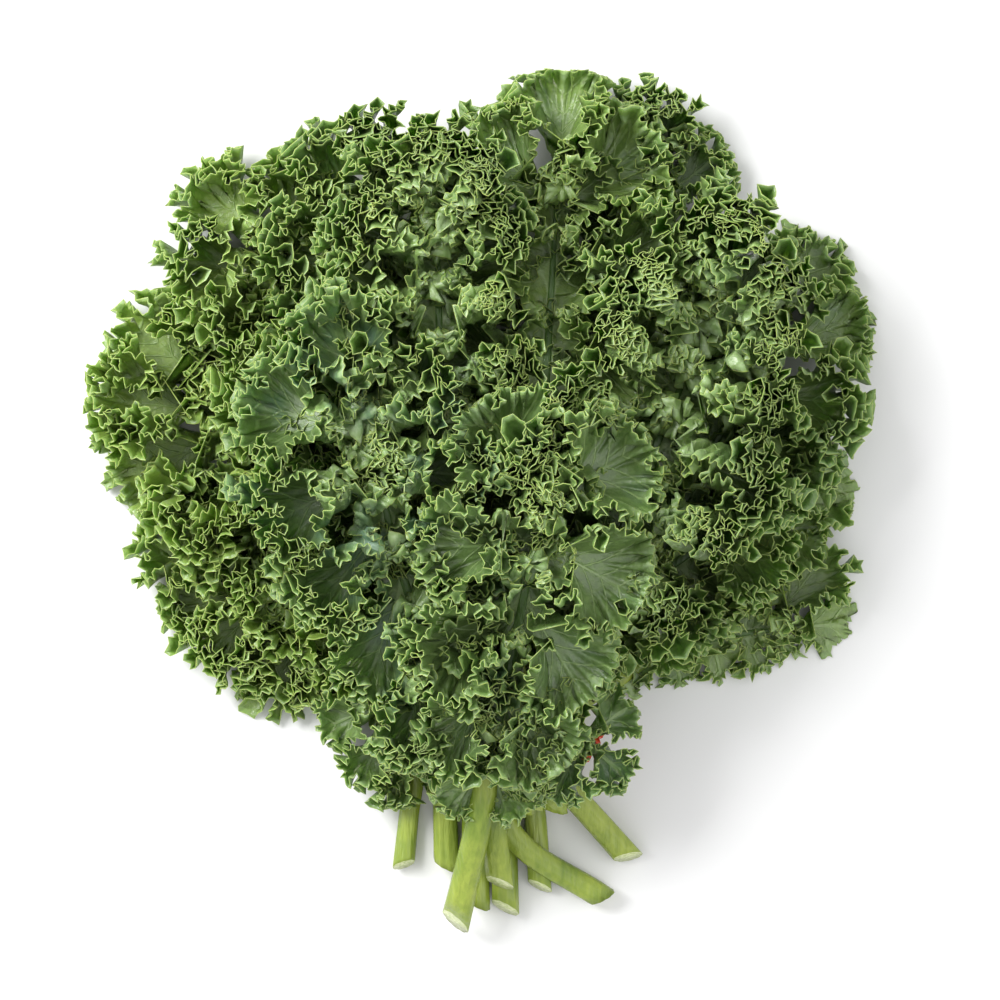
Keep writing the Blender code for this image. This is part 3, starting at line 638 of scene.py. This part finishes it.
def stem_shell(shell, leaf, rib, seed):
    """The stem and midrib: a ribbed tube with a slanting cut end, closed at both ends."""
    in_blade = np.linspace(rib.start, rib.end, RIB_RINGS)[1:]
    stations = np.concatenate((np.linspace(0.0, rib.start, STEM_RINGS), in_blade))
    place, forward, height = rib.at(stations)
    middle = np.column_stack((place, height))
    radius = rib.radius(stations)
    bare = 1.0 - rise(0.0, BARE_FADE, (stations - rib.start) / rib.blade)
    turns = np.linspace(0.0, 2.0 * math.pi, AROUND, endpoint=False)
    ribbed = 1.0 + RIB_DEPTH * np.cos(RIBS * turns + seed)
    grooved = 1.0 - GROOVE_DEPTH * np.exp(-((turns - 0.5 * math.pi) / GROOVE_WIDTH) ** 2)
    cut_up = CUT_UP if seed % 2 else -CUT_UP
    cut_aside = CUT_RIGHT if leaf.slot > FAR_LEFT else CUT_LEFT
    rings = []
    for k, along in enumerate(stations):
        side = np.array((-forward[k, 1], forward[k, 0], 0.0))
        tall = np.where(np.sin(turns) > 0, between((TOP_IN_BLADE, TOP_BARE), bare[k]), UNDER)
        thick = radius[k] * ribbed * grooved
        across = np.cos(turns) * thick
        over = np.sin(turns) * thick * tall
        ring = middle[k] + across[:, None] * side
        ring[:, 2] += over
        slant = (cut_up * over + cut_aside * across) * max(1.0 - along / CUT_FADE, 0.0)
        ring[:, :2] += forward[k] * slant[:, None]
        rings.append(shell.add(ring, np.tile((0.0, 0.0, 0.0, bare[k]), (AROUND, 1))))
    for one, two in zip(rings[:-1], rings[1:]):
        faces = np.column_stack((one, np.roll(one, -1), np.roll(two, -1), two))
        shell.join([faces[:, ::-1]], STEM_SLOT)
    for k, order, slot in ((0, 1, CUT_SLOT), (-1, -1, STEM_SLOT)):
        centre = shell.add(middle[[k]], np.zeros((1, 4)))[0]
        faces = np.column_stack((rings[k], np.roll(rings[k], -1), np.full(AROUND, centre)))
        shell.join([faces[:, ::order]], slot)


# Each point of a blade is marked with its distance from the margin, its place across its lobe, its
# distance from the rib, and how far it stands over its neighbours, which the blade's colour uses for
# painted light on crests and painted shade in folds. The last mark of a point of the stem says how
# bare the stem is there, and its others stay empty.
MARKS = ("edge", "across", "out", "crest_light_and_bare")
CREST = 2.2
CREST_BLUR = 11


def make_leaf(leaf, pile, seed):
    """One whole leaf as a mesh, laid on the pile."""
    rib = Rib(leaf)
    blade = Blade(leaf, rib, seed)
    grid, height, length, across = blade.sheet()
    sheet, distance = grid[..., :3].copy(), grid[..., 3]
    sheet[..., 2] += drape(sheet, height, distance, pile)
    sheet = ruffle(blade.random, sheet, FOLD, FOLD.swing * leaf.ruffle)
    sheet = ruffle(blade.random, sheet, RUFFLE, RUFFLE.swing)
    sheet = hold(cut_teeth(blade.random, sheet))
    edge = length[:, None] * (1.0 - ROWS)
    # How far each point stands over its neighbours, for painted light on crests and painted shade in folds.
    crest = rise(-CREST, CREST, sheet[..., 2] - blur(sheet[..., 2:], CREST_BLUR)[..., 0])
    shell = Shell()
    blade_shell(shell, sheet, np.stack((edge, across[:, None] * ROWS, distance, crest), axis=2))
    stem_shell(shell, leaf, rib, seed)
    mesh = bpy.data.meshes.new(leaf.name + "_curly")
    mesh.from_pydata((np.vstack(shell.points) * MM).tolist(), [], shell.faces)
    for name, values in zip(MARKS, np.vstack(shell.marks).T):
        attribute = mesh.attributes.new(name, "FLOAT", "POINT")
        attribute.data.foreach_set("value", values.astype(np.float32))
    mesh.polygons.foreach_set("material_index", shell.slots)
    mesh.shade_smooth()
    piece = bpy.data.objects.new(leaf.name + "_curly", mesh)
    bpy.context.scene.collection.objects.link(piece)
    return piece


class Value:
    """A socket that can be added, multiplied and so on, each time with a Math node."""

    def __init__(self, maker, socket):
        self.maker, self.socket = maker, socket

    def math(self, operation, *others):
        return self.maker.math(operation, self, *others)

    def __add__(self, other):
        return self.math("ADD", other)

    def __sub__(self, other):
        return self.math("SUBTRACT", other)

    def __rsub__(self, other):
        return self.maker.math("SUBTRACT", other, self)

    def __mul__(self, other):
        return self.math("MULTIPLY", other)

    __radd__, __rmul__ = __add__, __mul__

    def __abs__(self):
        return self.math("ABSOLUTE")

    def ramp(self, low, high):
        """0 at low, 1 at high, smooth between."""
        settings = {"interpolation_type": "SMOOTHSTEP"}
        return self.maker.node("ShaderNodeMapRange", settings, {0: self, 1: low, 2: high, 3: 0.0, 4: 1.0})


class Maker:
    """Builds one material's nodes."""

    def __init__(self, name):
        self.material = bpy.data.materials.new(name)
        self.material.use_nodes = True
        self.tree = self.material.node_tree
        self.shader = self.tree.nodes["Principled BSDF"]

    def node(self, kind, settings, sockets, output=0):
        made = self.tree.nodes.new(kind)
        for name, value in settings.items():
            setattr(made, name, value)
        for key, value in sockets.items():
            self.plug(made.inputs[key], value)
        return Value(self, made.outputs[output])

    def plug(self, socket, value):
        if isinstance(value, Value):
            self.tree.links.new(value.socket, socket)
        else:
            socket.default_value = value

    def math(self, operation, *values):
        return self.node("ShaderNodeMath", {"operation": operation}, dict(enumerate(values)))

    def mark(self, name):
        return self.node("ShaderNodeAttribute", {"attribute_name": name}, {}, "Fac")

    def place(self):
        return self.node("ShaderNodeTexCoord", {}, {}, "Object")

    def noise(self, scale, detail=3.0, rough=0.55, vector=None):
        return self.node("ShaderNodeTexNoise", {}, {
            "Vector": vector or self.place(), "Scale": scale, "Detail": detail, "Roughness": rough})

    def mix(self, share, one, two):
        return self.node("ShaderNodeMix", {"data_type": "RGBA"}, {0: share, 6: one, 7: two}, 2)

    def bump(self, height, strength, distance):
        return self.node("ShaderNodeBump", {}, {"Strength": strength, "Distance": distance, "Height": height})

    def set(self, **sockets):
        for name, value in sockets.items():
            self.plug(self.shader.inputs[name.replace("_", " ")], value)


# The colours of the blade, and how fresh young blade adds to them, along with painted light that
# makes some leaves lighter. Crests are painted lighter and folds darker, as painted light and shade;
# the pale bloom on the crests is wax bloom and partly a painted highlight, and the yellow-green rim
# is partly a painted highlight. The patterns are in turns per metre. A pair of limits says where
# something is missing and where it is full: in millimetres from the margin or the rib, or for the
# side veins in shares of the gap from vein to vein.
DARK_GREEN, DARK_FRESH_AND_LIT = (0.052, 0.103, 0.028), (0.035, 0.055, 0.0)
LIGHT_GREEN, LIGHT_FRESH_AND_LIT = (0.18, 0.28, 0.098), (0.10, 0.12, 0.0)
BLUE_WAX = (0.12, 0.22, 0.15, 1.0)
BLOOM_AND_HIGHLIGHT = (0.40, 0.52, 0.31, 1.0)
YOUNG_GREEN = (0.20, 0.32, 0.085, 1.0)
VEIN_GREEN = (0.33, 0.46, 0.18, 1.0)
RIM_GREEN_AND_HIGHLIGHT = (0.38, 0.46, 0.10, 1.0)
CLOUDS, MOTTLES, BLOOM_AND_HIGHLIGHT_SPOTS, WRINKLES, SPECKLES = 38.0, 60.0, 200.0, 330.0, 420.0
YOUNG_EDGE = (5.0, 0.4)
RIM_EDGE = (0.28, 0.03)
MIDVEIN_ACROSS, MIDVEIN_OUT = (1.1, 0.35), (46.0, 6.0)
VEIN_GAP, VEIN_SLOPE = 7.5, 0.9
VEIN_WIDTH, VEIN_EDGE = (0.1, 0.02), (1.5, 5.0)
WRINKLE_HEIGHT = 0.0008


def freshened_and_lit(colour, more, fresh):
    """A colour with a share of what freshness and painted light add to it."""
    return (*(value + added * fresh for value, added in zip(colour, more)), 1.0)


def blade_material(leaf):
    """Dark waxy blade with pale veins, mottled, with painted light on its crests and painted shade in its
    folds, wax bloom with a painted highlight on its crests, and a yellow-green rim that is partly a painted
    highlight.
    """
    make = Maker(leaf.name + "_blade")
    edge, across, out, crest = (make.mark(name) for name in MARKS)
    # Young blade is yellow-green, and the same share paints light on leaves, most on those at the left,
    # towards the lamp.
    dark = freshened_and_lit(DARK_GREEN, DARK_FRESH_AND_LIT, leaf.fresh)
    light = freshened_and_lit(LIGHT_GREEN, LIGHT_FRESH_AND_LIT, leaf.fresh)
    mottle = make.noise(MOTTLES, detail=4.0).ramp(0.3, 0.72)
    fine = make.noise(SPECKLES, detail=2.0).ramp(0.35, 0.7)
    # Crests are lighter and the folds between them darker: painted light and painted shade.
    green = make.mix(mottle * 0.32 + crest * 0.46 + fine * 0.28, dark, light)
    green = make.mix(make.noise(CLOUDS, detail=2.0).ramp(0.48, 0.7) * leaf.wax, green, BLUE_WAX)
    # Pale patches on the crests: wax bloom, and partly a painted highlight.
    bloom_and_highlight = crest.ramp(0.5, 0.95) * make.noise(BLOOM_AND_HIGHLIGHT_SPOTS).ramp(0.4, 0.66)
    green = make.mix(bloom_and_highlight * 0.72, green, BLOOM_AND_HIGHLIGHT)
    green = make.mix(edge.ramp(*YOUNG_EDGE) * 0.45, green, YOUNG_GREEN)
    aside = abs(across)
    main = aside.ramp(*MIDVEIN_ACROSS) * out.ramp(*MIDVEIN_OUT)
    comb = ((out - aside * VEIN_SLOPE) * (1.0 / VEIN_GAP)).math("FRACT") - 0.5
    side = abs(comb).ramp(*VEIN_WIDTH) * edge.ramp(*VEIN_EDGE) * 0.75
    vein = main.math("MAXIMUM", side)
    green = make.mix(vein * 0.7, green, VEIN_GREEN)
    # The rim along the margin: yellow-green, and partly a painted highlight where the margin catches the
    # light.
    rim = edge.ramp(*RIM_EDGE) * (mottle * 0.3 + fine * 0.3 + 0.36)
    height = vein * -0.4 + make.noise(WRINKLES, detail=4.0, rough=0.65) * 0.8
    make.set(Base_Color=make.mix(rim, green, RIM_GREEN_AND_HIGHLIGHT), Roughness=fine * 0.15 + 0.27 + leaf.wax * 0.08,
             Normal=make.bump(height, strength=0.9, distance=WRINKLE_HEIGHT), Specular_IOR_Level=0.75,
             Subsurface_Weight=0.3, Subsurface_Scale=0.001, Subsurface_Radius=(0.7, 1.0, 0.4))
    return make.material


STEM_DARK, STEM_LIGHT = (0.13, 0.205, 0.02, 1.0), (0.34, 0.41, 0.06, 1.0)
RIB_GREEN = (0.10, 0.19, 0.045, 1.0)
CUT_GREEN, CUT_PALE = (0.42, 0.50, 0.20, 1.0), (0.66, 0.70, 0.40, 1.0)
ALONG_STEM = (1.0, 0.12, 1.0)
STEM_CLOUDS, STEM_STREAKS, CUT_SPOTS, CUT_FIBRES = 45.0, 500.0, 900.0, 1200.0
FIBRE_HEIGHT = 0.0005


def stem_material(cut):
    """Juicy pale stem, streaked along and greener in the blade; or the paler, fibrous cut end."""
    make = Maker("cut_end" if cut else "stem")
    if cut:
        colour = make.mix(make.noise(CUT_SPOTS).ramp(0.3, 0.7), CUT_GREEN, CUT_PALE)
        height = make.noise(CUT_FIBRES, detail=2.0)
    else:
        drawn_out = make.node("ShaderNodeMapping", {}, {"Vector": make.place(), "Scale": ALONG_STEM})
        height = make.noise(STEM_STREAKS, rough=0.6, vector=drawn_out).ramp(0.3, 0.7)
        cloud = make.noise(STEM_CLOUDS).ramp(0.3, 0.7)
        colour = make.mix(cloud * 0.6 + height * 0.3, STEM_DARK, STEM_LIGHT)
        colour = make.mix(make.mark("crest_light_and_bare").ramp(0.9, 0.3), colour, RIB_GREEN)
    make.set(Base_Color=colour, Roughness=0.27,
             Normal=make.bump(height, strength=0.5, distance=FIBRE_HEIGHT))
    return make.material


# The blades of this leaf and of those after it lie over the tie as well.
FIRST_OVER_TIE = "leaf_10"

stem_green, cut_pale = stem_material(False), stem_material(True)
pile = np.zeros(CELLS)
for seed, leaf in enumerate(LEAVES, start=1):
    if leaf.name == FIRST_OVER_TIE:
        lay(pile, "twist_tie")
    piece = make_leaf(leaf, pile, seed)
    lay(pile, leaf.name)
    for material in (blade_material(leaf), stem_green, cut_pale):
        piece.data.materials.append(material)
    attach(piece, "root")
    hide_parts(leaf.name)


# The twist tie: a thin wire in a flat film of red plastic, wound round the stems where the
# blades begin and twisted at the right, so its end shows between the leaves.
FILM_DARK, FILM_LIGHT = (0.50, 0.045, 0.012, 1.0), (0.70, 0.10, 0.03, 1.0)
FILM_WRINKLES = 700.0
FILM_HEIGHT = 0.0003

film = Maker("tie_film")
wrinkle = film.noise(FILM_WRINKLES, detail=2.0)
film.set(Base_Color=film.mix(wrinkle.ramp(0.35, 0.7), FILM_DARK, FILM_LIGHT), Roughness=0.35,
         Normal=film.bump(wrinkle, strength=0.4, distance=FILM_HEIGHT))
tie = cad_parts["twist_tie"]
tie.data.materials.clear()
tie.data.materials.append(film.material)


# The floor: one plain pale sheet of paper, much larger than the bunch. It lies a hair lower than
# the underside of the bunch, so that the two never share a surface.
FLOOR_SIZE = 4.0
FLOOR_HEIGHT = -0.0004
PAPER = (0.77, 0.77, 0.775, 1.0)

bpy.ops.object.select_all(action="DESELECT")
bpy.ops.mesh.primitive_plane_add(size=FLOOR_SIZE, location=(0.0, 0.0, FLOOR_HEIGHT))
floor = bpy.context.object
floor.name = "floor"
paper = Maker("floor_paper")
paper.set(Base_Color=PAPER, Roughness=0.75)
floor.data.materials.append(paper.material)


# The light: one large soft lamp from the upper left, a weak one from the right, and a pale sky
# all round. Both lamps are square soft boxes that point at the middle of the bunch.
AIM = (0.0, 0.0, 0.03)
SKY, SKY_STRENGTH = (1.0, 1.0, 1.0, 1.0), 0.92


def lamp(name, place, size, power):
    light = bpy.data.lights.new(name, "AREA")
    light.size = size
    light.energy = power
    stand = bpy.data.objects.new(name, light)
    stand.location = place
    stand.rotation_euler = (Vector(AIM) - Vector(place)).to_track_quat("-Z", "Y").to_euler()
    bpy.context.scene.collection.objects.link(stand)


lamp("key", place=(-0.92, 0.6, 1.02), size=0.85, power=30.0)
lamp("fill", place=(0.9, -0.2, 1.3), size=1.2, power=5.0)
world = bpy.data.worlds.new("sky")
world.use_nodes = True
background = world.node_tree.nodes["Background"]
background.inputs["Color"].default_value = SKY
background.inputs["Strength"].default_value = SKY_STRENGTH
bpy.context.scene.world = world


# The camera: straight above, from far away through a long lens. At the middle of the bunch it
# takes in a square with sides of SEEN metres.
CAMERA = (0.0059, -0.0014, 2.2)
SENSOR = 36.0
SEEN = 0.37

lens = bpy.data.cameras.new("camera")
lens.sensor_width = SENSOR
lens.lens = SENSOR * (CAMERA[2] - AIM[2]) / SEEN
camera = bpy.data.objects.new("camera", lens)
camera.location = CAMERA
bpy.context.scene.collection.objects.link(camera)
bpy.context.scene.camera = camera
bpy.context.scene.view_settings.view_transform = "Standard"
